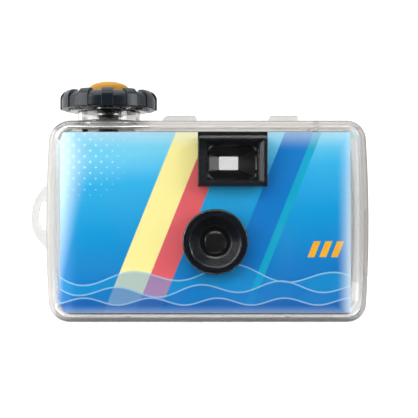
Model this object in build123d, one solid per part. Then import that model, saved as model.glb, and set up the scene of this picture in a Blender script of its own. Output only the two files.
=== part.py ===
from build123d import *
import math
import os

# Single-use 35 mm film camera in a clear waterproof housing.
# Millimetres. +X to the right, -Y out of the front, +Z up.
# Origin: centre of the flat underside of the housing.
os.makedirs("parts", exist_ok=True)

# ---------------------------------------------------------------- dimensions
# clear housing
HW_MID = 60.1          # half width at mid height (sides are bowed)
HW_END = 58.7          # half width at top and bottom
H_TOP = 75.1           # height of the top wall's outer face
Y_FRONT = -21.5        # front face
Y_PART = 13.0          # parting plane between the two shells
Y_BACK = 21.5          # back face
WALL = 2.0
R_LEFT = 8.2           # corner radii in the front view
R_RIGHT = 7.3
EDGE_R = 3.0           # front and back edge rounding
FLANGE_OUT = 1.9       # how far the parting flange stands proud at the sides
FLANGE_UP = 1.4        # and at the top
FLANGE_T = 1.5         # thickness of each half of the flange
PART_GAP = 0.08        # gap between the two shells, held by the gasket
SEAL_W = 1.0           # gasket width
SEAL_D = 0.9           # gasket depth

# knob axis, which is also the film cartridge's axis
KX, KY = -38.5, 0.5
NECK_R = 12.1
NECK_IN = 10.6
NECK_DISC_R = 15.2     # clear disc under the knob's skirt
KNOB_R = 18.4          # ring between the ribs
KNOB_RIB_R = 18.8      # over the ribs
KNOB_Z0 = 80.9         # bottom of the skirt
KNOB_Z1 = 87.1         # top of the ring
KNOB_RIB_Z = 88.0      # top of the ribs
KNOB_SKIRT_IN = 15.7
RIBS = 12
RIB_PHASE = 3.0        # degrees from the front towards +X
RIB_W = 14.0           # degrees
BUTTON_R = 7.6
BUTTON_TOP = 91.8
BUTTON_TRAVEL = 1.6
SHAFT_R = 3.9
SHAFT_BORE = 1.70      # bore of the hollow shaft
PLUNGER_R = 1.62
BEARING_BORE = 3.97

# inner camera
CX0, CX1 = -56.5, 54.1   # over the paper sleeve
CY0, CY1 = -14.5, 15.2
SLEEVE_T = 0.4
SLEEVE_Z0, SLEEVE_Z1 = 3.1, 71.1
COVER_Z0, COVER_Z1 = 2.4, 71.3
COVER_T = 1.2
SPLIT_Y = 2.0            # joint between front and rear covers

# lens axis
LX, LZ = 2.9, 29.8
# finder
FX0, FX1 = -3.5, 22.5
FZ0, FZ1 = 50.75, 69.5
FRONT_WIN = (-0.2, 18.7, 53.1, 66.3)    # x0, x1, z0, z1 at the front of the tunnel
REAR_WIN = (4.7, 12.3, 58.2, 63.5)      # at the rear of the tunnel

# film side
SX, SY = 39.5, 0.5       # supply spool axis
FILM_Y = 10.95
FILM_Z0, FILM_Z1 = 12.3, 47.3
WHEEL_R = 13.2
WHEEL_Z0, WHEEL_Z1 = 61.5, 65.0
SPX, SPY = -17.5, 4.4    # sprocket axis
CNX, CNY = -14.5, 3.5    # counter axis


# ---------------------------------------------------------------- helpers
def bx(x0, x1, y0, y1, z0, z1):
    return Pos((x0 + x1) / 2, (y0 + y1) / 2, (z0 + z1) / 2) * Box(x1 - x0, y1 - y0, z1 - z0)


def cz(x, y, r, z0, z1):
    return Pos(x, y, (z0 + z1) / 2) * Cylinder(r, z1 - z0)


def cy(x, z, r, y0, y1):
    return Pos(x, (y0 + y1) / 2, z) * Rot(90, 0, 0) * Cylinder(r, y1 - y0)


def cx(y, z, r, x0, x1):
    return Pos((x0 + x1) / 2, y, z) * Rot(0, 90, 0) * Cylinder(r, x1 - x0)


def prism_y(sk, y0, y1):
    # a sketch drawn with x = X and y = Z, pushed from y0 to y1
    return extrude(Plane.XZ.offset(-y1) * sk, amount=y1 - y0)


def prism_z(sk, z0, z1):
    return extrude(Pos(0, 0, z0) * sk, amount=z1 - z0)


def turn_z(pts, x=0.0, y=0.0):
    # profile of (radius, z) points turned about a vertical axis
    return Pos(x, y, 0) * revolve(Plane.XZ * Polygon(*pts, align=None), axis=Axis.Z)


def turn_y(pts, x=0.0, z=0.0):
    # profile of (radius, y) points turned about the lens direction
    return Pos(x, 0, z) * revolve(Polygon(*pts, align=None), axis=Axis.Y)


def ring(x, y, r_mid, r_sec, z):
    return Pos(x, y, z) * Torus(r_mid, r_sec)


def out(name, shape):
    shape.label = name
    export_step(shape, "parts/" + name + ".step")


def outline(mid, end, z0, z1, rl, rr):
    # front view of the housing: flat top and bottom, slightly bowed sides
    zc = (z0 + z1) / 2
    edges = [Line((-end, z0), (end, z0)),
             ThreePointArc((end, z0), (mid, zc), (end, z1)),
             Line((end, z1), (-end, z1)),
             ThreePointArc((-end, z1), (-mid, zc), (-end, z0))]
    f = make_face(edges)
    vs = f.vertices().sort_by(Axis.X)
    f = fillet(vs[:2], rl)
    vs = [v for v in f.vertices() if v.X > end - 0.01]
    return fillet(vs, rr)


def rim(shape, axis, last, radius):
    # round the edges at one end of a solid
    g = shape.edges().group_by(axis)
    return fillet(g[-1] if last else g[0], radius)


# ---------------------------------------------------------------- housing
o_face = outline(HW_MID, HW_END, 0, H_TOP, R_LEFT, R_RIGHT)
i_face = offset(o_face, amount=-WALL)
f_face = outline(HW_MID + FLANGE_OUT, HW_END + FLANGE_OUT, 0, H_TOP + FLANGE_UP, 8.0, 7.0)
s_out = offset(i_face, amount=0.5 + SEAL_W)
s_in = offset(i_face, amount=0.5)
g_out = offset(i_face, amount=0.5 + SEAL_W - 0.03)
g_in = offset(i_face, amount=0.5 + 0.03)

front_solid = rim(prism_y(o_face, Y_FRONT, Y_PART), Axis.Y, False, EDGE_R)
front_void = rim(prism_y(i_face, Y_FRONT + WALL, Y_PART + 5), Axis.Y, False, 1.4)
front_flange = rim(prism_y(f_face, Y_PART - FLANGE_T, Y_PART), Axis.Y, False, 0.5)

# strap lug: a disc segment beside the flange, with a D-shaped hole
LUG_X, LUG_Z, LUG_R = -53.6, 39.7, 16.7
lug_sk = Pos(LUG_X, LUG_Z) * Circle(LUG_R) & Pos(-67.1, LUG_Z) * Rectangle(15.8, 40)
hole_sk = Pos(LUG_X, LUG_Z) * Circle(13.7) & Pos(-68.55, LUG_Z) * Rectangle(13.0, 11.2)
hole_sk = fillet(hole_sk.vertices(), 1.0)
lug = prism_y(lug_sk - hole_sk, 8.0, 12.0)
lug = fillet([q for q in lug.edges().filter_by(GeomType.CIRCLE) if q.radius > LUG_R - 0.1], 1.0)

# latch tabs on top of the flange, one half on each shell
TABS = [(-18.1, -4.2), (24.5, 36.1)]


def tab(x0, x1, y0, y1, r0, r1):
    t = bx(x0, x1, y0, y1, H_TOP - 0.5, 79.7)
    e = [q for q in t.edges().filter_by(Axis.Y) if q.center().Z > 79]
    e = sorted(e, key=lambda q: q.center().X)
    t = fillet([e[0]], r0)
    e = [q for q in t.edges().filter_by(Axis.Y) if q.center().X > (x0 + x1) / 2 and q.center().Z > 79]
    return fillet(e, r1)


front_tabs = tab(*TABS[0], 9.6, Y_PART, 3.0, 1.6) + tab(*TABS[1], 9.6, Y_PART, 1.4, 0.5)
back_tabs = tab(*TABS[0], Y_PART + PART_GAP, 15.4, 3.0, 1.6) + tab(*TABS[1], Y_PART + PART_GAP, 15.4, 1.4, 0.5)

# neck, disc and bearing for the knob
neck = turn_z([(0, 74.0), (NECK_R + 1.2, 74.0), (NECK_R + 1.2, 75.1), (NECK_R + 0.35, 75.45),
               (NECK_R, 76.3), (NECK_R, 79.7), (NECK_R + 0.5, 80.1), (NECK_DISC_R - 0.4, 80.1),
               (NECK_DISC_R, 80.5), (NECK_DISC_R, 81.3), (NECK_DISC_R - 0.4, 81.7),
               (12.6, 81.7), (12.1, 82.2), (12.1, 82.9), (11.8, 83.2), (0, 83.2)], KX, KY)
neck_void = turn_z([(6.2, 81.7), (6.2, 79.4), (0, 79.4), (0, 72.0), (NECK_IN, 72.0), (NECK_IN, 81.7)], KX, KY)
teeth = None
for k in range(36):
    t = Pos(KX, KY, 0) * Rot(0, 0, 10 * k) * bx(9.75, 10.9, -0.3, 0.3, 79.6, 81.8)
    teeth = t if teeth is None else teeth + t
# two guides beside the collar's post keep it from turning
guides = bx(KX - 10.9, KX - 8.9, KY + 1.35, KY + 2.1, 74.0, 78.0) + bx(KX - 10.9, KX - 8.9, KY - 2.1, KY - 1.35, 74.0, 78.0)

# the neck's foot stops at the parting plane
neck = neck - bx(KX - 20, KX + 20, Y_PART, Y_PART + 8, 70.0, 78.0)
front_shell = front_solid + front_flange + neck
front_shell = front_shell - front_void - neck_void
front_shell = front_shell + teeth + guides
front_shell = front_shell - cz(KX, KY, BEARING_BORE, 79, 84)
front_shell = front_shell + lug
front_shell = front_shell + front_tabs
# ribs that hold the camera: top, floor and front corners
front_shell = front_shell + bx(39.6, 41.6, -20.0, -6.0, COVER_Z1, H_TOP - 1.0)
front_shell = front_shell + bx(-30.5, -28.7, -19.0, 8.0, 1.0, COVER_Z0) + bx(28.7, 30.5, -19.0, 8.0, 1.0, COVER_Z0)
# low pad on the top wall, up to the flange and over it
pad = rim(bx(37.6, 47.2, -13.0, Y_PART, H_TOP - 1.0, H_TOP + 1.85), Axis.Z, True, 0.4)
pad = pad - bx(37.0, 48.0, -14.0, 10.6, H_TOP + 0.45, H_TOP + 3)
front_shell = front_shell + pad
# clearance so that the lug and tabs do not reach into the inside
front_shell = front_shell - prism_y(i_face, 7.0, Y_PART + 5)
front_shell = front_shell + bx(39.6, 41.6, 7.0, 7.6, COVER_Z1, H_TOP - 1.0)

back_solid = rim(prism_y(o_face, Y_PART + PART_GAP, Y_BACK), Axis.Y, True, EDGE_R)
back_void = rim(prism_y(i_face, Y_PART - 5, Y_BACK - WALL), Axis.Y, True, 1.4)
back_flange = rim(prism_y(f_face, Y_PART + PART_GAP, Y_PART + FLANGE_T), Axis.Y, True, 0.5)
groove = prism_y(s_out, Y_PART, Y_PART + SEAL_D) - prism_y(s_in, Y_PART - 1, Y_PART + SEAL_D + 1)
# raised window frame in front of the eyepiece, and two ribs that hold the camera forward
eye_rim = bx(0.0, 17.0, Y_BACK - 0.5, Y_BACK + 0.8, 54.9, 66.9)
eye_rim = fillet(eye_rim.edges().filter_by(Axis.Y), 2.2)
eye_rim = eye_rim - fillet(bx(1.6, 15.4, Y_BACK, Y_BACK + 2, 56.5, 65.3).edges().filter_by(Axis.Y), 1.2)
back_shell = back_solid + back_flange + back_tabs - back_void - groove
back_shell = back_shell - prism_y(i_face, Y_PART - 5, Y_PART + 3)
back_shell = back_shell + eye_rim
back_shell = back_shell + bx(-30.9, -29.1, CY1, Y_BACK - 1, 12, 50) + bx(29.1, 30.9, CY1, Y_BACK - 1, 12, 50)

housing_seal = prism_y(g_out, Y_PART + 0.02, Y_PART + SEAL_D - 0.02) - prism_y(g_in, Y_PART - 1, Y_PART + SEAL_D + 1)

# ---------------------------------------------------------------- knob group
def turn_path(edges, x=0.0, y=0.0):
    # closed profile of edges drawn as (radius, z), turned about a vertical axis
    return Pos(x, y, 0) * revolve(Plane.XZ * make_face(edges), axis=Axis.Z)


knob = turn_path([
    Polyline((KNOB_R - 2.9, KNOB_Z1), (8.3, KNOB_Z1), (8.0, KNOB_Z1 - 0.3), (8.0, 85.0), (SHAFT_R, 85.0), (SHAFT_R, 83.6),
             (11.9, 83.6), (13.2, 83.3), (KNOB_SKIRT_IN - 0.4, 83.3), (KNOB_SKIRT_IN, 82.9), (KNOB_SKIRT_IN, KNOB_Z0 + 0.4),
             (KNOB_SKIRT_IN + 0.4, KNOB_Z0), (KNOB_R - 0.5, KNOB_Z0)),
    ThreePointArc((KNOB_R - 0.5, KNOB_Z0), (KNOB_R - 0.15, KNOB_Z0 + 0.15), (KNOB_R, KNOB_Z0 + 0.5)),
    Line((KNOB_R, KNOB_Z0 + 0.5), (KNOB_R, 84.2)),
    Spline((KNOB_R, 84.2), (KNOB_R - 0.85, 86.25), (KNOB_R - 2.9, KNOB_Z1), tangents=[(0, 1), (-1, 0)])])
rib_ring = turn_path([
    Line((14.2, KNOB_Z1 - 0.4), (14.2, KNOB_RIB_Z - 0.3)),
    ThreePointArc((14.2, KNOB_RIB_Z - 0.3), (14.29, KNOB_RIB_Z - 0.09), (14.5, KNOB_RIB_Z)),
    Line((14.5, KNOB_RIB_Z), (KNOB_RIB_R - 2.8, KNOB_RIB_Z)),
    Spline((KNOB_RIB_R - 2.8, KNOB_RIB_Z), (KNOB_RIB_R - 0.85, 87.0), (KNOB_RIB_R, 84.8), tangents=[(1, 0), (0, -1)]),
    Line((KNOB_RIB_R, 84.8), (KNOB_RIB_R, KNOB_Z0 + 0.3)),
    ThreePointArc((KNOB_RIB_R, KNOB_Z0 + 0.3), (KNOB_RIB_R - 0.09, KNOB_Z0 + 0.09), (KNOB_RIB_R - 0.3, KNOB_Z0)),
    Polyline((KNOB_RIB_R - 0.3, KNOB_Z0), (17.2, KNOB_Z0), (17.2, 84.0), (16.0, 86.0), (14.2, KNOB_Z1 - 0.4))])
half = math.radians(RIB_W / 2)
wedge = Polygon((0, 0), (30 * math.cos(half), -30 * math.sin(half)), (30 * math.cos(half), 30 * math.sin(half)), align=None)
rib = rib_ring & prism_z(wedge, 80, 89)


def on_rib_edge(e):
    # an edge along the rib's flank, on the part that stands proud of the ring
    for v in e.vertices():
        if abs(abs(math.atan2(v.Y, v.X)) - half) > 1e-4:
            return False
    c = e.center()
    return math.hypot(c.X, c.Y) > 17.6 or c.Z > KNOB_Z1 + 0.35


rib = fillet([e for e in rib.edges() if on_rib_edge(e)], 0.22)
ribs = None
for k in range(RIBS):
    r = Rot(0, 0, -90 + RIB_PHASE + 360.0 / RIBS * k) * rib
    ribs = r if ribs is None else ribs + r
wind_knob = Pos(KX, KY, 0) * (knob + ribs)

shaft = turn_z([(SHAFT_BORE, 68.6), (SHAFT_R, 68.6), (SHAFT_R, 78.45), (3.3, 78.45), (3.3, 79.3), (SHAFT_R, 79.3),
                (SHAFT_R, 80.6), (2.85, 80.6), (2.85, 81.8), (SHAFT_R, 81.8), (SHAFT_R, 85.0), (5.4, 85.0),
                (5.4, 85.6), (SHAFT_BORE, 85.6)], KX, KY)
shaft = shaft - bx(KX - 5, KX + 5, KY - 0.68, KY + 0.68, 74.3, 77.3)
# blade at the foot that keys into the thumbwheel's hub
shaft = shaft + bx(KX - 3.5, KX + 3.5, KY - 0.8, KY + 0.8, 66.4, 68.6) + cz(KX, KY, 3.6, 68.2, 69.0)
drive_shaft = shaft
shaft_clip = turn_z([(3.3, 78.5), (5.8, 78.5), (5.8, 79.25), (3.3, 79.25)], KX, KY)
shaft_clip = shaft_clip - bx(KX + 0.0, KX + 7, KY - 1.6, KY + 1.6, 78, 80)
shaft_seal = ring(KX, KY, 3.40, 0.55, 81.2)

button = turn_path([
    Polyline((0, BUTTON_TOP), (0, 89.6), (6.3, 89.6), (6.3, 87.0), (7.35, 87.0), (BUTTON_R, 87.3), (BUTTON_R, 88.7)),
    Spline((BUTTON_R, 88.7), (6.85, 90.45), (4.1, 91.5), (0, BUTTON_TOP), tangents=[(0, 1), (-1, 0)])], KX, KY)
shutter_button = button
button_spring = turn_z([(4.5, 85.6), (5.3, 85.6), (5.3, 89.6), (4.5, 89.6)], KX, KY)
plunger = cz(KX, KY, PLUNGER_R, 74.9, 89.6)
plunger = plunger - turn_z([(0.90, 83.3), (3, 83.3), (3, 84.3), (0.90, 84.3)], KX, KY)
plunger = plunger - cx(KY, 76.6, 0.6, KX - 3, KX + 3)
plunger_seal = ring(KX, KY, 1.29, 0.39, 83.8)
cross_pin = cx(KY, 76.6, 0.6, KX - 5.6, KX + 5.6)

collar = turn_z([(4.3, 74.7), (10.0, 74.7), (10.0, 75.9), (4.3, 75.9)], KX, KY)
collar = collar - bx(KX - 12, KX - 8.6, KY + 1.0, KY + 5, 74, 77) - bx(KX - 12, KX - 8.6, KY - 5, KY - 1.0, 74, 77)
release_collar = collar + bx(KX - 10.1, KX - 8.1, KY - 1.0, KY + 1.0, 71.9, 75.9)

# ---------------------------------------------------------------- inner camera: outer skins
plan = make_face(Polyline((CX0, CY0), (CX1, CY0), (CX1, CY1), (CX0, CY1), close=True))
pv = plan.vertices().sort_by(Axis.X)
plan = fillet([v for v in pv if v.X < 0 and v.Y < 0], 8.0)
plan = fillet([v for v in plan.vertices() if v.X < CX0 + 0.01 and v.Y > 10], 8.0)
plan = fillet([v for v in plan.vertices() if v.X > CX1 - 0.01], 2.6)
front = make_face(Polyline((CX0, COVER_Z0), (CX1, COVER_Z0), (CX1, COVER_Z1), (CX0, COVER_Z1), close=True))
front = fillet([v for v in front.vertices() if v.X < 0], 5.5)
front = fillet([v for v in front.vertices() if v.X > CX1 - 0.01], 2.0)
front_prism = prism_y(front, CY0 - 2, CY1 + 2)
# the card's corners are cut square, with small bevels where the housing is round
card = make_face(Polyline((CX0 + 2.6, SLEEVE_Z0), (CX1, SLEEVE_Z0), (CX1, SLEEVE_Z1), (CX0 + 1.7, SLEEVE_Z1),
                          (CX0, SLEEVE_Z1 - 3.1), (CX0, SLEEVE_Z0 + 3.5), close=True))
card = fillet([v for v in card.vertices() if v.X > CX1 - 0.01], 0.7)
card = fillet([v for v in card.vertices() if v.X < 0], 0.5)
card_prism = prism_y(card, CY0 - 2, CY1 + 2)

plan_c = offset(plan, amount=-SLEEVE_T)
plan_k = offset(plan, amount=-SLEEVE_T - 0.03)
plan_i = offset(plan, amount=-SLEEVE_T - COVER_T)
front_i = offset(front, amount=-COVER_T)

sleeve = prism_z(plan, SLEEVE_Z0, SLEEVE_Z1) - prism_z(plan_c, SLEEVE_Z0 - 1, SLEEVE_Z1 + 1)
sleeve = sleeve & card_prism
sleeve = sleeve - bx(FX0 - 0.15, FX1 + 0.15, CY0 - 1, CY0 + 5, FZ0 - 0.15, FZ1 + 5)
sleeve = sleeve - cy(LX, LZ, 12.1, CY0 - 1, CY0 + 5)
# cut-outs in the back for the eyepiece and the thumbwheel
sleeve = sleeve - bx(2.6, 14.4, CY1 - 3, CY1 + 1, 56.1, 65.6)
sleeve = sleeve - bx(-51.0, -26.0, CY1 - 8, CY1 + 1, 56.5, 80.0)
paper_sleeve = sleeve

cover = (prism_z(plan_k, COVER_Z0, COVER_Z1) & front_prism)
cover_void = prism_z(plan_i, COVER_Z0 + COVER_T, COVER_Z1 - COVER_T) & prism_y(front_i, CY0, CY1)
skin = cover - cover_void
front_half = bx(-80, 80, -40, SPLIT_Y, -5, 90)
rear_half = bx(-80, 80, SPLIT_Y, 40, -5, 90)

front_cover = skin & front_half
# finder frame, standing proud of the sleeve, with a bevelled edge
boss = prism_y(Pos((FX0 + FX1) / 2, (FZ0 + FZ1) / 2) * RectangleRounded(FX1 - FX0, FZ1 - FZ0, 1.3), -18.7, -13.5)
boss = fillet(boss.edges().group_by(Axis.Y)[0], 0.4)
bevel = Polygon((-19.9, FZ1 - 2.45), (-17.6, FZ1 + 0.2), (-19.9, FZ1 + 0.2), align=None)
boss = boss - extrude(Plane.YZ.offset(FX0 - 1) * bevel, amount=FX1 - FX0 + 2)
front_cover = front_cover + boss


def win(x0, x1, z0, z1, r=1.0):
    return Pos((x0 + x1) / 2, (z0 + z1) / 2) * RectangleRounded(x1 - x0, z1 - z0, r)


# the tunnel mouth in the boss flares a little towards the front
mouth = loft([Plane.XZ.offset(18.9) * win(-2.75, 21.4, 51.95, 67.95, 0.5), Plane.XZ.offset(17.2) * win(-2.2, 19.6, 52.5, 66.95, 0.4)])
mouth = mouth + loft([Plane.XZ.offset(17.3) * win(-2.2, 19.6, 52.5, 66.95, 0.9), Plane.XZ.offset(15.2) * win(*FRONT_WIN, 1.2)])
front_cover = front_cover - mouth - prism_y(win(*FRONT_WIN, 1.2), -15.4, -11.0)
front_cover = front_cover - cy(LX, LZ, 6.6, -15, -12)
front_cover = front_cover - cz(KX, KY, 6.2, 69, 72)
front_cover = front_cover - cz(KX - 9.1, KY, 2.3, 69, 72)
CW = (-17.2, -11.8, -4.8, -0.4)
front_cover = front_cover - bx(*CW, 69, 72)
camera_front_cover = front_cover

rear_cover = skin & rear_half
rear_cover = rear_cover - cz(KX, KY, 6.2, 69, 72) - cz(KX - 9.1, KY, 2.3, 69, 72)
rear_cover = rear_cover - bx(3.9, 13.1, 12, 16, 57.4, 64.3)
rear_cover = rear_cover - (cx(19.5, 63.25, 7.2, -49.5, -27.5))
camera_rear_cover = rear_cover
finder_eyepiece = bx(3.9, 13.1, 13.7, 14.8, 57.4, 64.3)
counter_window = bx(*CW, COVER_Z1 - 1.1, COVER_Z1)

# finder front lens, held in the mouth of the tunnel
fl = prism_y(win(*FRONT_WIN, 1.2), -14.5, -13.8)
pad = prism_y(win(FRONT_WIN[0] + 0.35, FRONT_WIN[1] - 0.35, FRONT_WIN[2] + 0.35, FRONT_WIN[3] - 0.35, 2.3), -15.1, -14.4)
pad = fillet(pad.edges().group_by(Axis.Y)[0], 0.25)
fl = fl + pad
finder_front_lens = fl

# lens ring: stepped black ring with a conical hood
ring_face = Polygon((5.65, -14.1), (12.3, -14.1), (12.3, -18.8), (9.6, -18.8), (9.45, -16.9), (9.15, -16.75),
                    (6.2, -15.3), (5.65, -15.1), align=None)


def corner(face, x, y, r):
    v = sorted(face.vertices(), key=lambda q: math.hypot(q.X - x, q.Y - y))[0]
    return fillet([v], r)


for px, py, pr in ((12.3, -18.8, 0.75), (9.6, -18.8, 0.24), (6.2, -15.3, 0.12)):
    ring_face = corner(ring_face, px, py, pr)
lens_ring = Pos(LX, 0, LZ) * revolve(ring_face, axis=Axis.Y)
# the ring sits on the cover, so the sleeve is cut round it
paper_sleeve = paper_sleeve - cy(LX, LZ, 12.32, CY0 - 1, CY0 + 3)
# meniscus: front sphere, flat rim, hollow rear
taking_lens = (cy(LX, LZ, 4.4, -15.0, -12.6) & Pos(LX, -4.0, LZ) * Sphere(10.2)) + cy(LX, LZ, 4.9, -13.2, -11.6)
taking_lens = taking_lens - Pos(LX, 0.65, LZ) * Sphere(12.95)
lens_retainer = turn_y([(4.9, -12.8), (6.5, -12.8), (6.5, -10.9), (3.9, -10.9), (3.9, -11.55), (4.9, -11.55)], LX, LZ)

# ---------------------------------------------------------------- chassis
rail = bx(-27.0, 28.5, 8.0, 10.5, 6.0, 66.0)
tun_out = loft([Plane.XZ.offset(-9.0) * (Pos(LX, LZ) * Rectangle(38.6, 26.6)),
                Plane.XZ.offset(7.2) * (Pos(LX, LZ) * Rectangle(20.4, 18.4))])
tun_in = loft([Plane.XZ.offset(-10.6) * (Pos(LX, LZ) * Rectangle(36.4, 24.4)),
               Plane.XZ.offset(6.0) * (Pos(LX, LZ) * Rectangle(17.6, 15.6))])
plate = bx(-14.0, 20.0, -7.2, -6.0, 17.0, 49.0)
body = rail + tun_out + plate - tun_in - bx(LX - 18, LX + 18, 8.0, 11.0, LZ - 12, LZ + 12)
body = body - cy(LX, LZ, 4.0, -8, -5)
# cartridge side
left = bx(-52.6, -24.6, -6.0, 9.0, 5.0, 60.0) - cz(KX, KY, 12.9, 7.2, 54.2)
left = left & prism_z(offset(plan_i, amount=-0.3), 4.0, 68.0)
left = left - cz(KX, KY, 4.57, 52, 61)
# supply side
right = bx(26.4, 51.6, -6.0, 9.0, 5.0, 56.0) - cz(SX, SY, 11.0, 7.2, 53.0)
right = right - cz(SX, SY, 2.07, 4, 60)
body = body + left + right
# film path has to stay open between the chambers and the rails
body = body - bx(-40, 60, 10.5, 12, 11.5, 48)
# deck that carries sprocket and counter
deck = bx(-24.6, -5.6, -6.0, 9.0, 58.0, 60.0)
shelf = bx(-24.6, -12.0, -0.5, 9.0, 42.5, 43.8)
post = cz(CNX, CNY, 3.4, 59.5, 66.9)
body = body + deck + shelf + post
body = body - cz(SPX, SPY, 2.07, 42, 59.2) - cz(CNX, CNY, 1.57, 61.5, 67)
body = body - bx(-24.7, -10.4, 7.0, 11.0, 43.8, 47.6)
# viewfinder tunnel
vt_out = loft([Plane.XZ.offset(11.7) * win(FRONT_WIN[0] - 1.1, FRONT_WIN[1] + 1.1, FRONT_WIN[2] - 1.1, FRONT_WIN[3] + 1.1, 1.5),
               Plane.XZ.offset(-13.4) * win(REAR_WIN[0] - 1.2, REAR_WIN[1] + 1.2, REAR_WIN[2] - 1.2, REAR_WIN[3] + 1.2, 0.8)])
vt_in = loft([Plane.XZ.offset(11.8) * win(*FRONT_WIN, 1.0), Plane.XZ.offset(-13.6) * win(*REAR_WIN, 0.4)])
body = body - bx(2.0, 15.0, 7.9, 10.6, 55.4, 67.0)
body = body + vt_out - vt_in
body = body + bx(-6.0, 4.0, 9.0, 10.5, 56.0, 65.0)
body = body - vt_in
# mechanism pivots
SHP = (12.4, 33.0)       # shutter leaf pivot
STP = (-5.0, 45.2)       # striker pivot
body = body + cy(*SHP, 0.80, -11.2, -7.0) + cy(*STP, 1.00, -12.2, -7.0)
camera_body = body

aperture_plate = cy(LX, LZ, 6.2, -7.8, -7.2) - cy(LX, LZ, 1.6, -9, -6)

ang = math.degrees(math.atan2(LZ - SHP[1], LX - SHP[0]))
leaf = cy(LX, LZ, 3.4, -8.9, -8.5) + cy(*SHP, 1.9, -8.9, -8.5)
arm = Pos((LX + SHP[0]) / 2, -8.7, (LZ + SHP[1]) / 2) * Rot(0, -ang, 0) * Box(9.6, 0.4, 2.4)
leaf = leaf + arm + bx(11.4, 13.4, -8.9, -8.5, 33.0, 39.4)
shutter_blade = leaf - cy(*SHP, 0.87, -10, -7)
shutter_spring = turn_y([(0.95, -10.9), (1.7, -10.9), (1.7, -9.3), (0.95, -9.3)], *SHP)

lever = cy(*STP, 2.2, -10.4, -9.4) + bx(STP[0], 10.6, -10.4, -9.4, 44.3, 46.1) + bx(8.9, 10.6, -10.4, -9.4, 40.6, 46.1)
lever = lever + bx(-10.4, STP[0], -10.4, -9.4, 43.9, 46.5)
striker_lever = lever - cy(*STP, 1.07, -12, -8)
striker_spring = turn_y([(1.15, -12.1), (2.0, -12.1), (2.0, -10.7), (1.15, -10.7)], *STP)

rx = KX - 9.1
rel = cz(rx, KY, 1.9, 68.9, 71.8) + bx(rx - 1.9, rx + 1.9, -10.4, KY + 1.6, 68.4, 69.4)
rel = rel + bx(rx - 1.9, -20.0, -10.4, -7.4, 68.4, 69.4) + bx(-23.0, -20.0, -10.4, -9.2, 48.6, 69.0)
rel = rel + bx(-23.0, -8.0, -10.4, -9.2, 48.6, 50.2)
camera_release = rel

# ---------------------------------------------------------------- film transport
wheel = turn_z([(0, WHEEL_Z0), (WHEEL_R - 0.4, WHEEL_Z0), (WHEEL_R, WHEEL_Z0 + 0.4), (WHEEL_R, WHEEL_Z1 - 0.4),
                (WHEEL_R - 0.4, WHEEL_Z1), (5.5, WHEEL_Z1), (5.5, 68.2), (0, 68.2)])
notch = None
for k in range(40):
    n = Rot(0, 0, 9 * k) * Pos(WHEEL_R + 0.25, 0, 63.25) * Cylinder(0.55, 4.2)
    notch = n if notch is None else notch + n
wheel = wheel - notch
wheel = wheel + cz(0, 0, 4.5, 53.6, WHEEL_Z0) + bx(-3.0, 3.0, -0.7, 0.7, 51.8, 53.6)
wheel = wheel - bx(-5.6, 5.6, -1.15, 1.15, 65.6, 69) - cz(0, 0, 3.95, 65.6, 69)
thumbwheel = Pos(KX, KY, 0) * wheel

spool = turn_z([(0, 8.6), (5.2, 8.6), (5.2, 9.3), (11.0, 9.3), (11.0, 10.0), (5.5, 10.0), (5.5, 49.6), (11.0, 49.6),
                (11.0, 50.3), (5.5, 50.3), (5.5, 53.5), (0, 53.5)])
spool = spool - bx(-3.05, 3.05, -0.75, 0.75, 51.75, 55)
cartridge_spool = Pos(KX, KY, 0) * spool
cart = turn_z([(0, 7.8), (12.4, 7.8), (12.4, 51.8), (0, 51.8)]) - turn_z([(0, 8.3), (11.9, 8.3), (11.9, 51.3), (0, 51.3)])
lip = bx(5.0, 12.4, 10.1, 12.1, 9.4, 50.2)
cart = cart + (lip - cz(0, 0, 12.2, 8, 52)) - bx(5.0, 13.0, 10.25, 10.65, 12.0, 47.6)
cart = cart - cz(0, 0, 5.9, 51, 53)
film_cartridge = Pos(KX, KY, 0) * cart
sup = cz(SX, SY, 2.0, 5.2, 55.6) + cz(SX, SY, 3.2, 8.0, 52.4)
supply_spool = sup
film_roll = cz(SX, SY, 9.8, FILM_Z0, FILM_Z1) - cz(SX, SY, 3.25, 0, 60)
film_strip = bx(-25.7, SX, FILM_Y - 0.07, FILM_Y + 0.07, FILM_Z0, FILM_Z1)

spr = cz(SPX, SPY, 2.0, 42.7, 59.1) + cz(SPX, SPY, 5.3, 44.8, 46.2)
for k in range(8):
    spr = spr + Pos(SPX, SPY, 45.5) * Rot(0, 0, 45 * k) * Pos(5.4, 0, 0) * Box(1.2, 1.4, 1.4)
sprocket_wheel = spr
counter_disc = cz(CNX, CNY, 7.4, 67.1, 68.1) + cz(CNX, CNY, 1.5, 61.7, 67.2)

# ---------------------------------------------------------------- write
PARTS = {
    "front_shell": front_shell, "back_shell": back_shell, "housing_seal": housing_seal,
    "wind_knob": wind_knob, "drive_shaft": drive_shaft, "shaft_clip": shaft_clip, "shaft_seal": shaft_seal,
    "shutter_button": shutter_button, "button_spring": button_spring, "plunger": plunger,
    "plunger_seal": plunger_seal, "cross_pin": cross_pin, "release_collar": release_collar,
    "camera_front_cover": camera_front_cover, "camera_rear_cover": camera_rear_cover,
    "paper_sleeve": paper_sleeve, "lens_ring": lens_ring, "taking_lens": taking_lens,
    "lens_retainer": lens_retainer, "finder_front_lens": finder_front_lens, "finder_eyepiece": finder_eyepiece,
    "camera_body": camera_body, "aperture_plate": aperture_plate, "shutter_blade": shutter_blade,
    "shutter_spring": shutter_spring, "striker_lever": striker_lever, "striker_spring": striker_spring,
    "camera_release": camera_release, "thumbwheel": thumbwheel, "counter_disc": counter_disc,
    "counter_window": counter_window, "sprocket_wheel": sprocket_wheel, "film_cartridge": film_cartridge,
    "cartridge_spool": cartridge_spool, "supply_spool": supply_spool, "film_roll": film_roll,
    "film_strip": film_strip,
}
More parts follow.
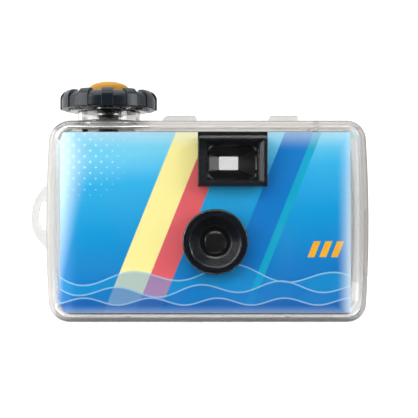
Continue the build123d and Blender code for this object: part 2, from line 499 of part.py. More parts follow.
for name, shape in PARTS.items():
    out(name, shape)
    print(name, round(shape.volume, 1), len(shape.solids()))
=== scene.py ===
import math

import bmesh
import bpy
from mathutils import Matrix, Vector


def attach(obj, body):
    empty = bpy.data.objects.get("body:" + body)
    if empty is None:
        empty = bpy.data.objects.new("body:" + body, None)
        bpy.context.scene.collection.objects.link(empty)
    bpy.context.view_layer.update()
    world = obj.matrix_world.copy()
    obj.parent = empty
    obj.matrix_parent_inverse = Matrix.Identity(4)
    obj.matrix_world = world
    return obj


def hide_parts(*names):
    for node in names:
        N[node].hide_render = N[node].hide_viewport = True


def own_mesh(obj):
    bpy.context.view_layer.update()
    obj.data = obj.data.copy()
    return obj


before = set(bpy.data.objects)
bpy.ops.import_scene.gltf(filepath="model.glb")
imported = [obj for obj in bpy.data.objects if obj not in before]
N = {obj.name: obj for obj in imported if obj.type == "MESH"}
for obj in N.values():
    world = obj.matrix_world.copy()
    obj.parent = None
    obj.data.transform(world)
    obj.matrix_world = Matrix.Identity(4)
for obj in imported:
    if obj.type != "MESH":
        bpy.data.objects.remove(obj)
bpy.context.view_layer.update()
MM = 0.001

# knob axis, lens axis, counter axis (millimetres, as in the solid model)
KX, KY = -38.5, 0.5
LX, LZ = 2.9, 29.8
CNX, CNY = -14.5, 3.5


# ------------------------------------------------------------------ colours
def lin(r, g, b, a=1.0):
    # display values 0-255 to linear
    out = []
    for c in (r, g, b):
        c = c / 255.0
        out.append(c / 12.92 if c <= 0.04045 else ((c + 0.055) / 1.055) ** 2.4)
    return (out[0], out[1], out[2], a)


# ------------------------------------------------------------------ node helper
class Tree:
    def __init__(self, name):
        self.m = bpy.data.materials.new(name)
        self.m.use_nodes = True
        self.t = self.m.node_tree
        self.t.nodes.clear()
        self.out = self.t.nodes.new("ShaderNodeOutputMaterial")
        self.bsdf = self.t.nodes.new("ShaderNodeBsdfPrincipled")
        self.t.links.new(self.bsdf.outputs[0], self.out.inputs["Surface"])
        self._xyz = None

    def link(self, a, b):
        self.t.links.new(a, b)

    def put(self, socket, v):
        if hasattr(v, "node"):
            self.link(v, socket)
        else:
            socket.default_value = v

    def coords(self):
        n = self.t.nodes.new("ShaderNodeTexCoord")
        return n.outputs["Object"]

    def xyz(self):
        # object coordinates in millimetres
        if self._xyz is None:
            s = self.t.nodes.new("ShaderNodeVectorMath")
            s.operation = "SCALE"
            self.link(self.coords(), s.inputs[0])
            s.inputs["Scale"].default_value = 1000.0
            x = self.t.nodes.new("ShaderNodeSeparateXYZ")
            self.link(s.outputs[0], x.inputs[0])
            self._xyz = (x.outputs[0], x.outputs[1], x.outputs[2])
        return self._xyz

    def math(self, op, a, b=None, c=None):
        n = self.t.nodes.new("ShaderNodeMath")
        n.operation = op
        self.put(n.inputs[0], a)
        if b is not None:
            self.put(n.inputs[1], b)
        if c is not None:
            self.put(n.inputs[2], c)
        return n.outputs[0]

    def add(self, a, b):
        return self.math("ADD", a, b)

    def sub(self, a, b):
        return self.math("SUBTRACT", a, b)

    def mul(self, a, b):
        return self.math("MULTIPLY", a, b)

    def step(self, v, e0, e1):
        # smooth 0 to 1 as v goes from e0 to e1
        n = self.t.nodes.new("ShaderNodeMapRange")
        n.interpolation_type = "SMOOTHSTEP"
        self.put(n.inputs[0], v)
        self.put(n.inputs[1], e0)
        self.put(n.inputs[2], e1)
        n.inputs[3].default_value = 0.0
        n.inputs[4].default_value = 1.0
        return n.outputs[0]

    def ramp(self, v, lo, hi, a, b):
        n = self.t.nodes.new("ShaderNodeMapRange")
        self.put(n.inputs[0], v)
        n.inputs[1].default_value = lo
        n.inputs[2].default_value = hi
        n.inputs[3].default_value = a
        n.inputs[4].default_value = b
        return n.outputs[0]

    def band(self, v, a, b, soft=0.05):
        return self.mul(self.step(v, a - soft, a + soft), self.sub(1.0, self.step(v, b - soft, b + soft)))

    def mix(self, fac, a, b, blend="MIX"):
        n = self.t.nodes.new("ShaderNodeMix")
        n.data_type = "RGBA"
        n.blend_type = blend
        self.put(n.inputs[0], fac)
        self.put(n.inputs[6], a)
        self.put(n.inputs[7], b)
        return n.outputs[2]

    def noise(self, scale, detail=2.0, rough=0.5, vec=None, dist=0.0):
        n = self.t.nodes.new("ShaderNodeTexNoise")
        n.inputs["Scale"].default_value = scale
        n.inputs["Detail"].default_value = detail
        n.inputs["Roughness"].default_value = rough
        n.inputs["Distortion"].default_value = dist
        self.link(vec if vec is not None else self.coords(), n.inputs["Vector"])
        return n.outputs["Fac"]

    def colors(self, v, stops):
        n = self.t.nodes.new("ShaderNodeValToRGB")
        r = n.color_ramp
        while len(r.elements) < len(stops):
            r.elements.new(0.5)
        for e, (p, c) in zip(r.elements, stops):
            e.position = p
            e.color = c
        self.put(n.inputs[0], v)
        return n.outputs[0]

    def bump(self, height, strength, distance, normal=None):
        n = self.t.nodes.new("ShaderNodeBump")
        n.inputs["Strength"].default_value = strength
        n.inputs["Distance"].default_value = distance
        self.link(height, n.inputs["Height"])
        if normal is not None:
            self.link(normal, n.inputs["Normal"])
        return n.outputs[0]

    def set(self, **kw):
        names = {"color": "Base Color", "rough": "Roughness", "metal": "Metallic", "ior": "IOR",
                 "trans": "Transmission Weight", "coat": "Coat Weight", "coat_rough": "Coat Roughness",
                 "spec": "Specular IOR Level", "normal": "Normal", "sheen": "Sheen Weight",
                 "sss": "Subsurface Weight", "sss_scale": "Subsurface Scale"}
        for k, v in kw.items():
            self.put(self.bsdf.inputs[names[k]], v)
        return self


def moulded(name, color, rough, grain=900.0, depth=0.00003, vary=0.05, spec=0.5, coat=0.0, coat_rough=0.1, strength=0.35):
    # injection-moulded plastic: fine spark-eroded grain, slow gloss and colour drift, faint rub marks
    t = Tree(name)
    fine = t.noise(grain, 3.0, 0.6)
    slow = t.noise(45.0, 2.0, 0.5)
    c2 = tuple(min(1.0, c * (1.0 + vary * 6)) for c in color[:3]) + (1.0,)
    t.set(color=t.mix(t.step(slow, 0.35, 0.75), color, c2),
          rough=t.ramp(t.add(t.mul(slow, 0.7), t.mul(fine, 0.3)), 0.3, 0.7, rough - vary, rough + vary),
          spec=spec, coat=coat, coat_rough=coat_rough,
          normal=t.bump(fine, strength, depth))
    return t.m


def clear(name, tint, rough=0.0, ior=1.49, ripple=0.00002, shadow=(0.95, 0.955, 0.95, 1.0)):
    # clear moulded plastic that lets lamps through to what is inside
    t = Tree(name)
    flow = t.noise(28.0, 2.0, 0.4, dist=0.3)
    t.set(color=tint, rough=rough, ior=ior, trans=1.0, normal=t.bump(flow, 0.25, ripple))
    tr = t.t.nodes.new("ShaderNodeBsdfTransparent")
    tr.inputs[0].default_value = shadow
    lp = t.t.nodes.new("ShaderNodeLightPath")
    mx = t.t.nodes.new("ShaderNodeMixShader")
    t.link(lp.outputs["Is Shadow Ray"], mx.inputs[0])
    t.link(t.bsdf.outputs[0], mx.inputs[1])
    t.link(tr.outputs[0], mx.inputs[2])
    t.link(mx.outputs[0], t.out.inputs["Surface"])
    return t.m


def clear_shell(name):
    # clear moulded housing: polished windows, satin and slightly milky where a face points forward at the rim; the
    # glass tint is darkened at the rim, on the neck and at its foot as painted shade, and the milky layer's colour
    # is painted light on the left and painted shade to the right and along the bottom
    t = Tree(name)
    x, y, z = t.xyz()
    flow = t.noise(28.0, 2.0, 0.4, dist=0.3)
    nrm = t.bump(flow, 0.25, 0.00002)
    g = t.t.nodes.new("ShaderNodeNewGeometry")
    sep = t.t.nodes.new("ShaderNodeSeparateXYZ")
    t.link(g.outputs["True Normal"], sep.inputs[0])
    fwd = t.step(t.math("ABSOLUTE", sep.outputs[1]), 0.20, 0.75)
    side = t.step(t.math("ABSOLUTE", x), 55.4, 57.0)
    ends = t.math("MAXIMUM", t.step(z, 71.4, 72.8), t.sub(1.0, t.step(z, 1.6, 3.0)))
    rim = t.math("MAXIMUM", side, ends)
    painted_shade_low = t.step(z, 3.2, 1.2)
    knob_side = t.sub(1.0, t.step(x, -25.0, -20.0))
    neck = t.mul(t.step(z, 76.4, 77.0), knob_side)
    foot = t.mul(t.step(z, 71.0, 72.0), knob_side)
    lug = t.sub(1.0, t.step(x, -62.2, -61.4))
    # painted light: the milky layer is made stronger on the left, where the light falls
    haze = t.mul(t.mul(fwd, rim), t.ramp(x, -60.0, 60.0, 0.62, 0.52))
    haze = t.mul(haze, t.sub(1.0, t.mul(neck, 0.92)))
    haze = t.mul(haze, t.sub(1.0, t.mul(foot, 0.88)))
    haze = t.mul(haze, t.sub(1.0, t.mul(lug, 0.80)))
    haze = t.mul(haze, t.sub(1.0, t.mul(t.step(z, 76.4, 76.9), 0.85)))
    haze = t.add(haze, t.mul(t.mul(rim, t.sub(1.0, t.math("MAXIMUM", fwd, neck))), 0.08))
    tabs = t.mul(t.step(z, 76.4, 76.9), t.sub(1.0, knob_side))
    # painted shade: the glass tint is darker at the rim, at the foot of the neck and on the neck
    base = t.mix(t.mul(rim, t.sub(1.0, t.mul(tabs, 0.8))), (0.975, 0.972, 0.965, 1.0), (0.92, 0.912, 0.895, 1.0))
    base = t.mix(foot, base, (0.88, 0.875, 0.865, 1.0))
    base = t.mix(neck, base, (0.76, 0.755, 0.75, 1.0))
    t.set(color=base, rough=0.0, ior=1.49, trans=1.0, normal=nrm)
    milk = t.t.nodes.new("ShaderNodeBsdfPrincipled")
    # painted light and shade: the milky layer's colour is lighter on the left, darker to the right and dark near
    # the bottom
    painted_light_tone = t.colors(t.ramp(x, -60.0, 60.0, 0.0, 1.0), [(0.0, (0.74, 0.72, 0.69, 1.0)), (0.12, (0.53, 0.51, 0.485, 1.0)), (1.0, (0.475, 0.456, 0.433, 1.0))])
    painted_light_tone = t.mix(painted_shade_low, painted_light_tone, (0.20, 0.20, 0.195, 1.0))
    t.put(milk.inputs["Base Color"], painted_light_tone)
    milk.inputs["Roughness"].default_value = 0.35
    milk.inputs["Specular IOR Level"].default_value = 0.4
    mm = t.t.nodes.new("ShaderNodeMixShader")
    t.put(mm.inputs[0], haze)
    t.link(t.bsdf.outputs[0], mm.inputs[1])
    t.link(milk.outputs[0], mm.inputs[2])
    tr = t.t.nodes.new("ShaderNodeBsdfTransparent")
    tr.inputs[0].default_value = (0.95, 0.945, 0.935, 1.0)
    lp = t.t.nodes.new("ShaderNodeLightPath")
    mx = t.t.nodes.new("ShaderNodeMixShader")
    t.link(lp.outputs["Is Shadow Ray"], mx.inputs[0])
    t.link(mm.outputs[0], mx.inputs[1])
    t.link(tr.outputs[0], mx.inputs[2])
    t.link(mx.outputs[0], t.out.inputs["Surface"])
    return t.m


def pane(name):
    t = Tree(name)
    x, y, z = t.xyz()
    flow = t.noise(28.0, 2.0, 0.4, dist=0.3)
    # painted shade: the pane's rim is painted dark, except at the corners and down the right-hand side, which stay
    # clear
    dx = t.math("ABSOLUTE", t.sub(x, 9.25))
    dz = t.math("ABSOLUTE", t.sub(z, 59.7))
    painted_shade_border = t.math("MAXIMUM", t.step(dx, 8.4, 8.75), t.step(dz, 5.55, 5.9))
    corner = t.mul(t.step(dx, 6.6, 7.2), t.step(dz, 3.6, 4.2))
    right = t.mul(t.step(x, 16.5, 17.0), t.sub(1.0, t.step(dz, 2.6, 3.4)))
    keep = t.math("MAXIMUM", corner, right)
    dark = t.mul(painted_shade_border, t.sub(1.0, keep))
    t.set(color=t.mix(dark, (0.97, 0.975, 0.98, 1.0), (0.10, 0.105, 0.115, 1.0)), rough=0.0, ior=1.49, trans=1.0,
          normal=t.bump(flow, 0.25, 0.00001))
    tr = t.t.nodes.new("ShaderNodeBsdfTransparent")
    tr.inputs[0].default_value = (0.95, 0.955, 0.95, 1.0)
    lp = t.t.nodes.new("ShaderNodeLightPath")
    mx = t.t.nodes.new("ShaderNodeMixShader")
    t.link(lp.outputs["Is Shadow Ray"], mx.inputs[0])
    t.link(t.bsdf.outputs[0], mx.inputs[1])
    t.link(tr.outputs[0], mx.inputs[2])
    t.link(mx.outputs[0], t.out.inputs["Surface"])
    return t.m


def chassis(name):
    # moulded black: drawn sides keep a gloss, faces that look up or down are matt
    t = Tree(name)
    fine = t.noise(1800.0, 3.0, 0.6)
    g = t.t.nodes.new("ShaderNodeNewGeometry")
    sep = t.t.nodes.new("ShaderNodeSeparateXYZ")
    t.link(g.outputs["True Normal"], sep.inputs[0])
    flat = t.step(t.math("ABSOLUTE", sep.outputs[2]), 0.03, 0.18)
    x, y, z = t.xyz()
    wall = t.ramp(x, 6.0, 12.0, 0.28, 0.62)
    t.set(color=(0.007, 0.008, 0.010, 1.0), rough=t.math("MAXIMUM", wall, t.mul(flat, 0.75)), spec=t.ramp(flat, 0.0, 1.0, 0.22, 0.04),
          normal=t.bump(fine, 0.12, 0.00002))
    return t.m


def stepped_ring(name):
    # black ring: satin cone, polished lips at the three edges
    t = Tree(name)
    x, y, z = t.xyz()
    dx, dz = t.sub(x, LX), t.sub(z, LZ)
    r = t.math("SQRT", t.add(t.mul(dx, dx), t.mul(dz, dz)))
    lip = t.math("MAXIMUM", t.band(r, 9.35, 10.0, 0.08), t.math("MAXIMUM", t.step(r, 11.4, 11.7), t.sub(1.0, t.step(r, 6.2, 6.35))))
    cone = t.mul(t.step(r, 6.3, 6.4), t.sub(1.0, t.step(r, 9.1, 9.3)))
    fine = t.noise(2000.0, 2.0, 0.5)
    t.set(color=(0.0045, 0.0062, 0.0100, 1.0), rough=t.ramp(lip, 0.0, 1.0, 0.17, 0.12),
          spec=t.add(t.add(0.30, t.mul(lip, 0.70)), t.mul(cone, -0.14)), normal=t.bump(fine, 0.01, 0.00002))
    return t.m


def silicone(name, color):
    # milky translucent sealing rubber
    t = Tree(name)
    n = t.noise(500.0, 2.0, 0.5)
    t.set(color=color, rough=t.ramp(n, 0.3, 0.7, 0.32, 0.42), ior=1.41, trans=0.55, sss=0.4, sss_scale=0.001,
          normal=t.bump(n, 0.1, 0.00001))
    return t.m


def steel(name, color, rough=0.28, aniso=0.0):
    t = Tree(name)
    g = t.noise(600.0, 3.0, 0.6)
    t.set(color=t.mix(t.step(g, 0.3, 0.7), color, tuple(c * 0.86 for c in color[:3]) + (1.0,)), metal=1.0,
          rough=t.ramp(g, 0.3, 0.7, rough - 0.06, rough + 0.08), normal=t.bump(g, 0.15, 0.00001))
    return t.m


# ------------------------------------------------------------------ printed sleeve
def printed_sleeve():
    t = Tree("printed_card")
    x, y, z = t.xyz()
    h = t.ramp(z, 3.0, 71.0, 0.0, 1.0)
    lift = t.add(h, t.mul(t.ramp(x, -56.0, 54.0, 1.0, 0.0), 0.16))
    base = t.colors(lift, [(0.02, lin(0, 90, 172)), (0.30, lin(0, 124, 200)), (0.58, lin(0, 154, 218)),
                           (0.84, lin(44, 178, 234)), (1.0, lin(114, 210, 245))])
    # slanting stripes behind the finder and the lens
    s = t.sub(x, t.mul(t.sub(z, 37.0), 0.40))
    col = t.mix(t.band(s, -25.5, -13.6), base, lin(255, 244, 160))
    col = t.mix(t.band(s, -13.6, -4.6), col, lin(229, 98, 106))
    col = t.mix(t.band(s, 15.6, 26.4), col, lin(0, 122, 204))
    col = t.mix(t.band(s, 26.4, 29.4), col, lin(0, 168, 206))
    # layered waves along the lower edge
    w1 = t.add(17.5, t.add(t.mul(t.math("SINE", t.mul(x, 0.165)), 2.6), t.mul(t.math("SINE", t.add(t.mul(x, 0.071), 1.1)), 1.6)))
    w2 = t.add(12.2, t.add(t.mul(t.math("SINE", t.add(t.mul(x, 0.205), 2.2)), 1.9), t.mul(t.math("SINE", t.mul(x, 0.058)), 1.2)))
    w3 = t.add(7.6, t.mul(t.math("SINE", t.add(t.mul(x, 0.25), 0.6)), 1.3))
    for w, c, a in ((w1, lin(0, 150, 210), 0.55), (w2, lin(0, 112, 190), 0.70), (w3, lin(0, 88, 168), 0.80)):
        d = t.sub(w, z)
        col = t.mix(t.mul(t.step(d, -0.05, 0.05), a), col, c)
        col = t.mix(t.mul(t.band(d, 0.0, 0.55), 0.45), col, lin(190, 230, 248))
    # small diamonds that fade out towards the right
    fx = t.sub(t.math("FRACT", t.add(t.mul(x, 1 / 4.2), 50.0)), 0.5)
    row = t.math("FLOOR", t.mul(z, 1 / 2.1))
    fx = t.sub(t.math("FRACT", t.add(t.add(t.mul(x, 1 / 4.2), 50.0), t.mul(row, 0.5))), 0.5)
    fz = t.sub(t.math("FRACT", t.mul(z, 1 / 2.1)), 0.5)
    dd = t.add(t.mul(t.math("ABSOLUTE", fx), 4.2), t.mul(t.math("ABSOLUTE", fz), 2.1))
    size = t.mul(t.ramp(x, -56.0, -22.0, 0.95, 0.0), t.ramp(z, 40.0, 60.0, 0.0, 1.0))
    dot = t.step(t.sub(size, dd), -0.04, 0.04)
    dot = t.mul(dot, t.mul(t.step(size, 0.12, 0.2), t.sub(1.0, t.step(s, -25.7, -25.5))))
    col = t.mix(t.mul(dot, 0.55), col, lin(236, 248, 253))
    # three short slanted bars at the lower right
    q = t.sub(x, t.mul(t.sub(z, 20.0), 0.40))
    for k in range(3):
        bar = t.mul(t.band(q, 36.0 + 4.4 * k, 38.6 + 4.4 * k), t.band(z, 24.0, 30.0))
        col = t.mix(bar, col, lin(245, 178, 40))
    # plain pale panel on the back
    back = t.step(y, 14.8, 15.05)
    panel = t.mul(t.band(x, -20.0, 46.0, 0.15), t.band(z, 9.0, 50.0, 0.15))
    col = t.mix(t.mul(back, panel), col, lin(228, 238, 243))
    # pale towards the card's edges, strongest at the upper left: partly print and partly a painted highlight
    painted_edge_highlight = t.mul(t.sub(1.0, t.step(x, -56.3, t.ramp(z, 14.0, 60.0, -54.0, -42.0))), t.ramp(z, 8.0, 50.0, 0.10, 1.0))
    painted_edge_highlight = t.math("MAXIMUM", painted_edge_highlight, t.mul(t.step(x, 48.5, 54.6), t.ramp(z, 30.0, 66.0, 0.95, 0.55)))
    painted_edge_highlight = t.math("MAXIMUM", painted_edge_highlight, t.mul(t.step(z, 64.0, 72.0), 0.62))
    painted_edge_highlight = t.math("MAXIMUM", painted_edge_highlight, t.mul(t.sub(1.0, t.step(z, 2.6, 6.2)), 0.32))
    col = t.mix(t.mul(painted_edge_highlight, 0.72), col, lin(222, 241, 250))
    # bare card at the cut edges
    cut = t.math("MAXIMUM", t.step(z, 71.04, 71.08), t.sub(1.0, t.step(z, 3.12, 3.16)))
    col = t.mix(cut, col, lin(238, 236, 228))
    fibre = t.noise(1400.0, 3.0, 0.6)
    slow = t.noise(60.0, 2.0, 0.5)
    col = t.mix(t.mul(t.step(slow, 0.3, 0.8), 0.012), col, lin(255, 255, 255))
    t.set(color=col, rough=t.ramp(fibre, 0.3, 0.7, 0.34, 0.44), spec=0.25,
          normal=t.bump(fibre, 0.12, 0.00002))
    return t.m


M = {
    "shell": clear_shell("clear_shell"),
    "window": clear("clear_window", (0.97, 0.975, 0.98, 1.0), rough=0.0, ripple=0.00001),
    "seal": silicone("seal_silicone", (0.80, 0.78, 0.73, 1.0)),
    "oring": moulded("oring_rubber", (0.10, 0.085, 0.07, 1.0), 0.5, grain=700.0),
    "knob": moulded("knob_black", (0.0100, 0.0145, 0.0210, 1.0), 0.27, grain=1800.0, vary=0.02, spec=0.36, strength=0.07),
    "shaft": moulded("shaft_black", (0.008, 0.0095, 0.013, 1.0), 0.30, grain=900.0, spec=0.35),
    "cover": moulded("cover_black", (0.0045, 0.0055, 0.0085, 1.0), 0.20, grain=2200.0, vary=0.01, spec=0.85, strength=0.02),
    "ring": stepped_ring("lens_ring_black"),
    "body": chassis("chassis_black"),
    "pane": pane("finder_pane"),
    "orange": moulded("button_orange", lin(174, 124, 20), 0.42, grain=1200.0, vary=0.01, spec=0.30, strength=0.12),
    "steel": steel("bright_steel", (0.60, 0.60, 0.61, 1.0)),
    "dark_steel": steel("dark_steel", (0.10, 0.10, 0.105, 1.0), 0.4),
    "cartridge": moulded("cartridge_lacquer", (0.05, 0.055, 0.065, 1.0), 0.35),
    "ink": moulded("dial_ink", (0.02, 0.02, 0.022, 1.0), 0.5, strength=0.1),
    "white": moulded("disc_white", (0.72, 0.72, 0.70, 1.0), 0.5, vary=0.02),
    "film": moulded("film_base", (0.09, 0.035, 0.018, 1.0), 0.22, grain=500.0, strength=0.05),
    "print": printed_sleeve(),
}

lens_t = Tree("coated_lens")
lens_n = lens_t.noise(220.0, 2.0, 0.5)
lens_t.set(color=(0.93, 0.95, 0.97, 1.0), rough=0.0, ior=1.49, trans=1.0, coat=0.4, coat_rough=0.03,
           normal=lens_t.bump(lens_n, 0.05, 0.00001))
M["lens"] = lens_t.m

WEAR = {
    "front_shell": "shell", "back_shell": "shell", "housing_seal": "seal", "wind_knob": "knob",
    "drive_shaft": "shaft", "shaft_clip": "steel", "shaft_seal": "oring", "shutter_button": "orange",
    "button_spring": "steel", "plunger": "steel", "plunger_seal": "oring", "cross_pin": "steel",
    "release_collar": "shaft", "camera_front_cover": "cover", "camera_rear_cover": "cover",
    "paper_sleeve": "print", "lens_ring": "ring", "taking_lens": "lens", "lens_retainer": "body",
    "finder_front_lens": "pane", "finder_eyepiece": "window", "camera_body": "body",
    "aperture_plate": "dark_steel", "shutter_blade": "dark_steel", "shutter_spring": "steel",
    "striker_lever": "body", "striker_spring": "steel", "camera_release": "body", "thumbwheel": "knob",
    "counter_disc": "white", "counter_window": "window", "sprocket_wheel": "body",
    "film_cartridge": "cartridge", "cartridge_spool": "body", "supply_spool": "body", "film_roll": "film",
    "film_strip": "film",
}
for node, key in WEAR.items():
    ob = N[node]
    ob.data.materials.clear()
    ob.data.materials.append(M[key])

# ------------------------------------------------------------------ wound springs, dial figures, film
def new_obj(name, bm, mat, smooth=True):
    bmesh.ops.recalc_face_normals(bm, faces=bm.faces)
    me = bpy.data.meshes.new(name)
    bm.to_mesh(me)
    bm.free()
    for f in me.polygons:
        f.use_smooth = smooth
    me.materials.append(mat)
    ob = bpy.data.objects.new(name, me)
    bpy.context.scene.collection.objects.link(ob)
    return ob


def tube(bm, pts, r, sides=10):
    # round wire along the points, with flat ends; the section turns with the wire
    pts = [Vector(q) * MM for q in pts]
    r = r * MM
    rings = []
    side = None
    for i, q in enumerate(pts):
        d = (pts[min(i + 1, len(pts) - 1)] - pts[max(i - 1, 0)]).normalized()
        if side is None:
            side = d.orthogonal().normalized()
        side = (side - d * side.dot(d)).normalized()
        up = d.cross(side)
        rings.append([bm.verts.new(q + side * (r * math.cos(a)) + up * (r * math.sin(a)))
                      for a in [2 * math.pi * k / sides for k in range(sides)]])
    for a, b in zip(rings, rings[1:]):
        for k in range(sides):
            bm.faces.new((a[k], a[(k + 1) % sides], b[(k + 1) % sides], b[k]))
    bm.faces.new(list(reversed(rings[0])))
    bm.faces.new(rings[-1])


def coil(axis_pt, axis, r, y0, y1, turns, lead=0.0):
    # helix points about a line along Z or -Y through axis_pt; closed turns at both ends
    out = []
    n = int(turns * 28)
    for i in range(n + 1):
        t = i / n
        a = 2 * math.pi * turns * t + lead
        e = min(1.0, max(0.0, (t * turns - 0.7) / max(turns - 1.4, 0.1)))
        h = y0 + (y1 - y0) * (0.04 * t + 0.96 * e)
        if axis == "Z":
            out.append((axis_pt[0] + r * math.cos(a), axis_pt[1] + r * math.sin(a), h))
        else:
            out.append((axis_pt[0] + r * math.cos(a), h, axis_pt[1] + r * math.sin(a)))
    return out


# return spring under the shutter button
bm = bmesh.new()
tube(bm, coil((KX, KY), "Z", 4.9, 85.95, 89.25, 4.4), 0.34, 12)
o = new_obj("button_spring_coil", bm, M["steel"])
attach(o, "winder")
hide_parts("button_spring")
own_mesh(o)

# torsion springs on the shutter leaf's and the striker's pivots, each with two legs
for name, node, px, pz, r, w, ya, yb, turns, a0, legs in (
        ("shutter_spring_coil", "shutter_spring", 12.4, 33.0, 1.32, 0.17, -10.7, -9.5, 3.25, 0.4, (3.2, 2.2)),
        ("striker_spring_coil", "striker_spring", -5.0, 45.2, 1.62, 0.20, -11.9, -10.9, 2.6, 2.0, (3.6, 2.6))):
    pts = coil((px, pz), "Y", r, ya, yb, turns, a0)
    a1 = a0 + 2 * math.pi * turns
    first = [(px + r * math.cos(a0) + math.sin(a0) * k, ya, pz + r * math.sin(a0) - math.cos(a0) * k)
             for k in (legs[0], legs[0] * 0.6, legs[0] * 0.25)]
    last = [(px + r * math.cos(a1) - math.sin(a1) * k, yb, pz + r * math.sin(a1) + math.cos(a1) * k)
            for k in (legs[1] * 0.25, legs[1] * 0.6, legs[1])]
    bm = bmesh.new()
    tube(bm, first + pts + last, w, 8)
    o = new_obj(name, bm, M["steel"])
    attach(o, "housing")
    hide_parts(node)

# figures 0 to 26 by twos and the strokes between them, on the exposure counter
bm = bmesh.new()
for k in range(14):
    cu = bpy.data.curves.new("figure", "FONT")
    cu.body = str(2 * k)
    cu.align_x = "CENTER"
    cu.align_y = "CENTER"
    cu.size = 2.0 * MM
    cu.extrude = 0.012 * MM
    tmp = bpy.data.objects.new("figure", cu)
    a = math.radians(-90 - 360.0 / 14 * k)
    tmp.location = ((CNX + 5.6 * math.cos(a)) * MM, (CNY + 5.6 * math.sin(a)) * MM, 68.11 * MM)
    tmp.rotation_euler = (0, 0, a - math.pi / 2)
    bpy.context.scene.collection.objects.link(tmp)
    bpy.context.view_layer.update()
    me = bpy.data.meshes.new_from_object(tmp)
    me.transform(tmp.matrix_world)
    bm.from_mesh(me)
    bpy.data.objects.remove(tmp)
    bpy.data.curves.remove(cu)
    bpy.data.meshes.remove(me)
    b = a - math.pi / 14
    c, si = math.cos(b), math.sin(b)
    q = [(CNX + u * c - v * si, CNY + u * si + v * c) for u, v in ((5.4, -0.09), (6.4, -0.09), (6.4, 0.09), (5.4, 0.09))]
    lo = [bm.verts.new((x * MM, y * MM, 68.098 * MM)) for x, y in q]
    hi = [bm.verts.new((x * MM, y * MM, 68.122 * MM)) for x, y in q]
    bm.faces.new(list(reversed(lo)))
    bm.faces.new(hi)
    for i in range(4):
        bm.faces.new((lo[i], lo[(i + 1) % 4], hi[(i + 1) % 4], hi[i]))
bmesh.ops.remove_doubles(bm, verts=bm.verts, dist=0.000001)
o = new_obj("counter_figures", bm, M["ink"], smooth=False)
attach(o, "counter")

# perforated film across the gate
bm = bmesh.new()
fx0, fx1, fz0, fz1 = -25.7, 39.5, 12.3, 47.3
cols = [fx0]
k = 0
while True:
    h0 = fx0 + 1.4 + 4.75 * k
    if h0 + 2.8 > fx1 - 0.6:
        break
    cols += [h0, h0 + 2.8]
    k += 1
cols.append(fx1)
lines = [fz0, fz0 + 2.0, fz0 + 3.98, fz1 - 3.98, fz1 - 2.0, fz1]
grid = {}


def film_vert(i, j, y):
    key = (i, j, y)
    if key not in grid:
        grid[key] = bm.verts.new((cols[i] * MM, y * MM, lines[j] * MM))
    return grid[key]


def hole(i, j):
    return i % 2 == 1 and j in (1, 3)


ya, yb = 10.88, 11.02
for i in range(len(cols) - 1):
    for j in range(len(lines) - 1):
        if hole(i, j):
            continue
        bm.faces.new([film_vert(a, b, ya) for a, b in ((i, j), (i + 1, j), (i + 1, j + 1), (i, j + 1))])
        bm.faces.new([film_vert(a, b, yb) for a, b in ((i, j), (i, j + 1), (i + 1, j + 1), (i + 1, j))])
        for di, dj, e in ((-1, 0, ((0, 0), (0, 1))), (1, 0, ((1, 1), (1, 0))), (0, -1, ((1, 0), (0, 0))), (0, 1, ((0, 1), (1, 1)))):
            u, v = i + di, j + dj
            if u < 0 or v < 0 or u >= len(cols) - 1 or v >= len(lines) - 1 or hole(u, v):
                (a, b), (c, d) = e
                bm.faces.new([film_vert(i + a, j + b, ya), film_vert(i + a, j + b, yb), film_vert(i + c, j + d, yb), film_vert(i + c, j + d, ya)])
o = new_obj("film_web", bm, M["film"], smooth=False)
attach(o, "housing")
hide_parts("film_strip")

# ------------------------------------------------------------------ stage
bm = bmesh.new()
prof = [(-0.036, -0.0002), (0.36, -0.0002)]
rows = []
for px, pz in prof:
    rows.append([bm.verts.new((xx, px, pz)) for xx in (-0.6, 0.6)])
for a, b in zip(rows, rows[1:]):
    bm.faces.new((a[0], a[1], b[1], b[0]))
me = bpy.data.meshes.new("sweep")
bm.to_mesh(me)
bm.free()
for p in me.polygons:
    p.use_smooth = True
floor = bpy.data.objects.new("sweep", me)
bpy.context.scene.collection.objects.link(floor)
ft = Tree("pale_sweep")
fn = ft.noise(6.0, 2.0, 0.5)
ft.set(color=ft.mix(fn, (0.80, 0.80, 0.80, 1.0), (0.82, 0.82, 0.82, 1.0)), rough=0.9, spec=0.05)
ft.bsdf.inputs["Emission Color"].default_value = (1.0, 1.0, 1.0, 1.0)
ft.bsdf.inputs["Emission Strength"].default_value = 0.16
me.materials.append(ft.m)


def lamp(name, loc, at, size, power, color=(1, 1, 1)):
    d = bpy.data.lights.new(name, "AREA")
    d.shape = "RECTANGLE"
    d.size, d.size_y = size
    d.energy = power
    d.color = color
    o = bpy.data.objects.new(name, d)
    bpy.context.scene.collection.objects.link(o)
    o.location = loc
    o.rotation_euler = (Vector(at) - Vector(loc)).to_track_quat("-Z", "Y").to_euler()
    return o


lamp("key_left", (-0.86, -0.46, 0.36), (0, 0, 0.04), (0.80, 0.75), 5.6, (1.0, 0.99, 0.98))
lamp("fill_right", (0.80, -0.40, 0.30), (0, 0, 0.04), (0.35, 0.5), 3.2, (0.98, 0.99, 1.0))
lamp("top", (0.0, 0.0, 0.85), (0, 0.0, 0.04), (0.9, 0.4), 2.0)
lamp("front_top", (-0.05, -0.62, 0.72), (0, 0, 0.04), (0.9, 0.40), 2.7)

# light tent: white all round, with dark openings straight in front and, less, straight behind
w = bpy.data.worlds.new("studio")
bpy.context.scene.world = w
w.use_nodes = True
wt = w.node_tree
wt.nodes.clear()


def wnode(kind, **vals):
    n = wt.nodes.new(kind)
    for k, v in vals.items():
        setattr(n, k, v)
    return n


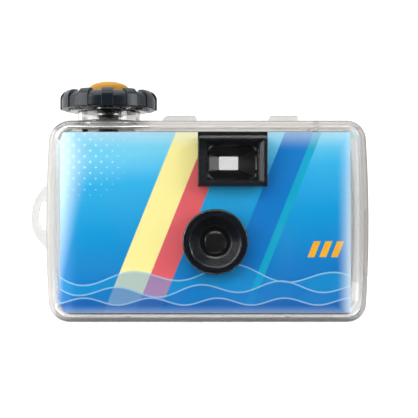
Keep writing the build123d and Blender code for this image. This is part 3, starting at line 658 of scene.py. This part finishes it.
wo = wnode("ShaderNodeOutputWorld")
bg = wnode("ShaderNodeBackground")
tc = wnode("ShaderNodeTexCoord")
sx = wnode("ShaderNodeSeparateXYZ")
wt.links.new(tc.outputs["Generated"], sx.inputs[0])
front = wnode("ShaderNodeMapRange", interpolation_type="SMOOTHSTEP")
for k, v in ((1, -0.88), (2, -0.45), (3, 0.03), (4, 1.0)):
    front.inputs[k].default_value = v
wt.links.new(sx.outputs[1], front.inputs[0])
rear = wnode("ShaderNodeMapRange", interpolation_type="SMOOTHSTEP")
for k, v in ((1, 0.55), (2, 0.95), (3, 1.0), (4, 0.85)):
    rear.inputs[k].default_value = v
wt.links.new(sx.outputs[1], rear.inputs[0])
both = wnode("ShaderNodeMath", operation="MULTIPLY")
wt.links.new(front.outputs[0], both.inputs[0])
wt.links.new(rear.outputs[0], both.inputs[1])
across = wnode("ShaderNodeMapRange", interpolation_type="SMOOTHSTEP")
for k, v in ((1, -0.9), (2, 0.9), (3, 1.50), (4, 0.85)):
    across.inputs[k].default_value = v
wt.links.new(sx.outputs[0], across.inputs[0])
level = wnode("ShaderNodeMath", operation="MULTIPLY")
wt.links.new(both.outputs[0], level.inputs[0])
wt.links.new(across.outputs[0], level.inputs[1])
# darker below the table's height
under = wnode("ShaderNodeMapRange", interpolation_type="SMOOTHSTEP")
for k, v in ((1, -0.40), (2, 0.02), (3, 0.10), (4, 1.0)):
    under.inputs[k].default_value = v
wt.links.new(sx.outputs[2], under.inputs[0])
tent = wnode("ShaderNodeMath", operation="MULTIPLY")
wt.links.new(level.outputs[0], tent.inputs[0])
wt.links.new(under.outputs[0], tent.inputs[1])
lp = wnode("ShaderNodeLightPath")
# what is seen directly or straight through clear pieces is white on every side
turns = wnode("ShaderNodeMath", operation="SUBTRACT")
wt.links.new(lp.outputs["Ray Depth"], turns.inputs[0])
wt.links.new(lp.outputs["Transmission Depth"], turns.inputs[1])
straight = wnode("ShaderNodeMath", operation="LESS_THAN")
wt.links.new(turns.outputs[0], straight.inputs[0])
straight.inputs[1].default_value = 1.5
either = wnode("ShaderNodeMath", operation="MAXIMUM")
wt.links.new(lp.outputs["Is Camera Ray"], either.inputs[0])
wt.links.new(lp.outputs["Is Transmission Ray"], either.inputs[1])
seen = wnode("ShaderNodeMath", operation="MULTIPLY")
wt.links.new(straight.outputs[0], seen.inputs[0])
wt.links.new(either.outputs[0], seen.inputs[1])
back = wnode("ShaderNodeMath", operation="MAXIMUM")
wt.links.new(tent.outputs[0], back.inputs[0])
wt.links.new(seen.outputs[0], back.inputs[1])
bg.inputs["Color"].default_value = (1.0, 1.0, 1.0, 1.0)
lift = wnode("ShaderNodeMath", operation="MULTIPLY_ADD")
wt.links.new(lp.outputs["Is Camera Ray"], lift.inputs[0])
lift.inputs[1].default_value = 0.20
wt.links.new(back.outputs[0], lift.inputs[2])
wt.links.new(lift.outputs[0], bg.inputs["Strength"])
wt.links.new(bg.outputs[0], wo.inputs[0])

# ------------------------------------------------------------------ camera
FOCAL_PX = 1103.0          # focal length in pixels of a 418 pixel wide frame
cam_d = bpy.data.cameras.new("view")
cam_d.sensor_fit = "HORIZONTAL"
cam_d.sensor_width = 36.0
cam_d.lens = 36.0 * FOCAL_PX / 418.0
cam_d.clip_start = 0.01
cam_d.clip_end = 20.0
cam = bpy.data.objects.new("view", cam_d)
bpy.context.scene.collection.objects.link(cam)
cam.location = (-0.00094, -0.430, 0.0361)
look = Vector((4.0 / FOCAL_PX, 1.0, 16.0 / FOCAL_PX))
cam.rotation_euler = look.to_track_quat("-Z", "Y").to_euler()
bpy.context.scene.camera = cam

sc = bpy.context.scene
sc.view_settings.view_transform = "Standard"
sc.view_settings.look = "None"
sc.cycles.max_bounces = 16
sc.cycles.transmission_bounces = 16
sc.cycles.transparent_max_bounces = 16
